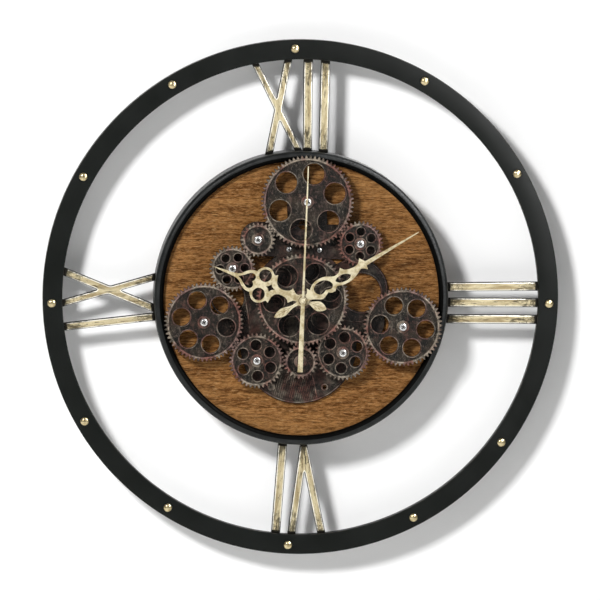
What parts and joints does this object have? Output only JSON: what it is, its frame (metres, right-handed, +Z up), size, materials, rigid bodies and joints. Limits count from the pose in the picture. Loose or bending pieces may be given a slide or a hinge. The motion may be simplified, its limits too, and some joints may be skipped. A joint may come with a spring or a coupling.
{
  "type": "skeleton wall clock",
  "caption": "Large open-frame wall clock: ring with Roman quarter numerals, wood dial in a drum, and a train of meshing gears that turn behind ornate hands.",
  "frame": {"origin": "on the hands' axis, halfway between the wall plane and the front of the centre cap; the wall plane is at y = +35.75 mm", "axes": "+Z up the wall to twelve o'clock, +X to three o'clock, -Y out of the wall towards the reader of the clock"},
  "size_m": [0.6, 0.0716, 0.6],
  "materials": {
    "black_metal": "charcoal black satin powder coat",
    "brass": "bright domed and turned brass",
    "antique_gold": "antique pale gold, rubbed dark at the ends",
    "wood": "medium oak, fine grain running across",
    "relief_plate": "cast resin, dark bronze, brushed highlights",
    "bronze_resin": "cast resin, dark bronze with reddish brushed highlights on the raised edges",
    "steel": "bright",
    "hand_gold": "pale cream gold, satin",
    "black_plastic": "moulded, fine texture",
    "cell_jacket": "plain printed jacket with no lettering"
  },
  "bodies": {
    "frame": {"outer_ring": "black_metal", "rivet_12": "brass", "rivet_01": "brass", "rivet_02": "brass", "rivet_03": "brass", "rivet_04": "brass", "rivet_05": "brass", "rivet_06": "brass", "rivet_07": "brass", "rivet_08": "brass", "rivet_09": "brass", "rivet_10": "brass", "rivet_11": "brass", "numeral_xii_x": "antique_gold", "numeral_xii_i_left": "antique_gold", "numeral_xii_i_right": "antique_gold", "numeral_iii_i_upper": "antique_gold", "numeral_iii_i_middle": "antique_gold", "numeral_iii_i_lower": "antique_gold", "numeral_vi_v": "antique_gold", "numeral_vi_i": "antique_gold", "numeral_ix_x": "antique_gold", "numeral_ix_i": "antique_gold", "drum_ring": "black_metal", "hanger": "black_metal", "dial_board": "wood", "gear_plate": "relief_plate", "plate_screw_left": "steel", "plate_screw_right": "steel", "lower_left_gear_screw": "steel", "lower_right_gear_screw": "steel", "left_gear_screw": "steel", "right_gear_screw": "steel", "left_idler_screw": "steel", "upper_left_idler_screw": "steel", "top_gear_screw": "steel", "right_idler_screw": "steel", "centre_nut": "brass", "movement_case": "black_plastic", "movement_cell": "cell_jacket", "drive_case": "black_plastic", "drive_cell": "cell_jacket"},
    "centre_gear": {"centre_gear": "bronze_resin"},
    "drive_pinion": {"drive_pinion": "bronze_resin", "drive_shaft": "steel"},
    "lower_left_gear": {"lower_left_gear": "bronze_resin"},
    "lower_right_gear": {"lower_right_gear": "bronze_resin"},
    "left_gear": {"left_gear": "bronze_resin"},
    "right_gear": {"right_gear": "bronze_resin"},
    "left_idler": {"left_idler": "bronze_resin"},
    "upper_left_idler": {"upper_left_idler": "bronze_resin"},
    "top_gear": {"top_gear": "bronze_resin"},
    "right_idler": {"right_idler": "bronze_resin"},
    "hour_hand": {"hour_hand": "hand_gold", "hour_tube": "brass"},
    "minute_hand": {"minute_hand": "hand_gold", "minute_tube": "brass"},
    "second_hand": {"second_hand": "hand_gold", "second_arbor": "steel"},
    "setting_knob": {"setting_knob": "black_plastic"}
  },
  "joints": [
    {"name": "centre_gear_spin", "type": "hinge", "parent": "frame", "child": "centre_gear", "pos_m": [0, 0, 0], "axis": [0, 1, 0], "continuous": true},
    {"name": "drive_pinion_spin", "type": "hinge", "parent": "frame", "child": "drive_pinion", "pos_m": [-0.00214, 0, -0.07197], "axis": [0, 1, 0], "continuous": true},
    {"name": "lower_left_gear_spin", "type": "hinge", "parent": "frame", "child": "lower_left_gear", "pos_m": [-0.05253, 0, -0.07118], "axis": [0, 1, 0], "continuous": true},
    {"name": "lower_right_gear_spin", "type": "hinge", "parent": "frame", "child": "lower_right_gear", "pos_m": [0.04739, 0, -0.06261], "axis": [0, 1, 0], "continuous": true},
    {"name": "left_gear_spin", "type": "hinge", "parent": "frame", "child": "left_gear", "pos_m": [-0.11378, 0, -0.02618], "axis": [0, 1, 0], "continuous": true},
    {"name": "right_gear_spin", "type": "hinge", "parent": "frame", "child": "right_gear", "pos_m": [0.11729, 0, -0.03279], "axis": [0, 1, 0], "continuous": true},
    {"name": "left_idler_spin", "type": "hinge", "parent": "frame", "child": "left_idler", "pos_m": [-0.08073, 0, 0.03598], "axis": [0, 1, 0], "continuous": true},
    {"name": "upper_left_idler_spin", "type": "hinge", "parent": "frame", "child": "upper_left_idler", "pos_m": [-0.05099, 0, 0.06948], "axis": [0, 1, 0], "continuous": true},
    {"name": "top_gear_spin", "type": "hinge", "parent": "frame", "child": "top_gear", "pos_m": [0.00644, 0, 0.11291], "axis": [0, 1, 0], "continuous": true},
    {"name": "right_idler_spin", "type": "hinge", "parent": "frame", "child": "right_idler", "pos_m": [0.06771, 0, 0.064], "axis": [0, 1, 0], "continuous": true},
    {"name": "second_hand_spin", "type": "hinge", "parent": "frame", "child": "second_hand", "pos_m": [0, 0, 0], "axis": [0, 1, 0], "continuous": true},
    {"name": "minute_hand_spin", "type": "hinge", "parent": "frame", "child": "minute_hand", "pos_m": [0, 0, 0], "axis": [0, 1, 0], "continuous": true},
    {"name": "hour_hand_spin", "type": "hinge", "parent": "frame", "child": "hour_hand", "pos_m": [0, 0, 0], "axis": [0, 1, 0], "continuous": true},
    {"name": "setting_knob_spin", "type": "hinge", "parent": "frame", "child": "setting_knob", "pos_m": [-0.015, 0, 0.015], "axis": [0, 1, 0], "continuous": true}
  ],
  "couplings": [
    {"joint": "drive_pinion_spin", "follows": "centre_gear_spin", "ratio": -2.75},
    {"joint": "lower_left_gear_spin", "follows": "centre_gear_spin", "ratio": 1.6923},
    {"joint": "lower_right_gear_spin", "follows": "centre_gear_spin", "ratio": 1.6923},
    {"joint": "left_gear_spin", "follows": "centre_gear_spin", "ratio": -1.1786},
    {"joint": "right_gear_spin", "follows": "centre_gear_spin", "ratio": -1.1786},
    {"joint": "left_idler_spin", "follows": "centre_gear_spin", "ratio": 2.0625},
    {"joint": "upper_left_idler_spin", "follows": "centre_gear_spin", "ratio": -2.75},
    {"joint": "top_gear_spin", "follows": "centre_gear_spin", "ratio": 1},
    {"joint": "right_idler_spin", "follows": "centre_gear_spin", "ratio": -2.0625},
    {"joint": "minute_hand_spin", "follows": "second_hand_spin", "ratio": 0.016667},
    {"joint": "hour_hand_spin", "follows": "second_hand_spin", "ratio": 0.0013889},
    {"joint": "setting_knob_spin", "follows": "second_hand_spin", "ratio": -0.0055556}
  ]
}
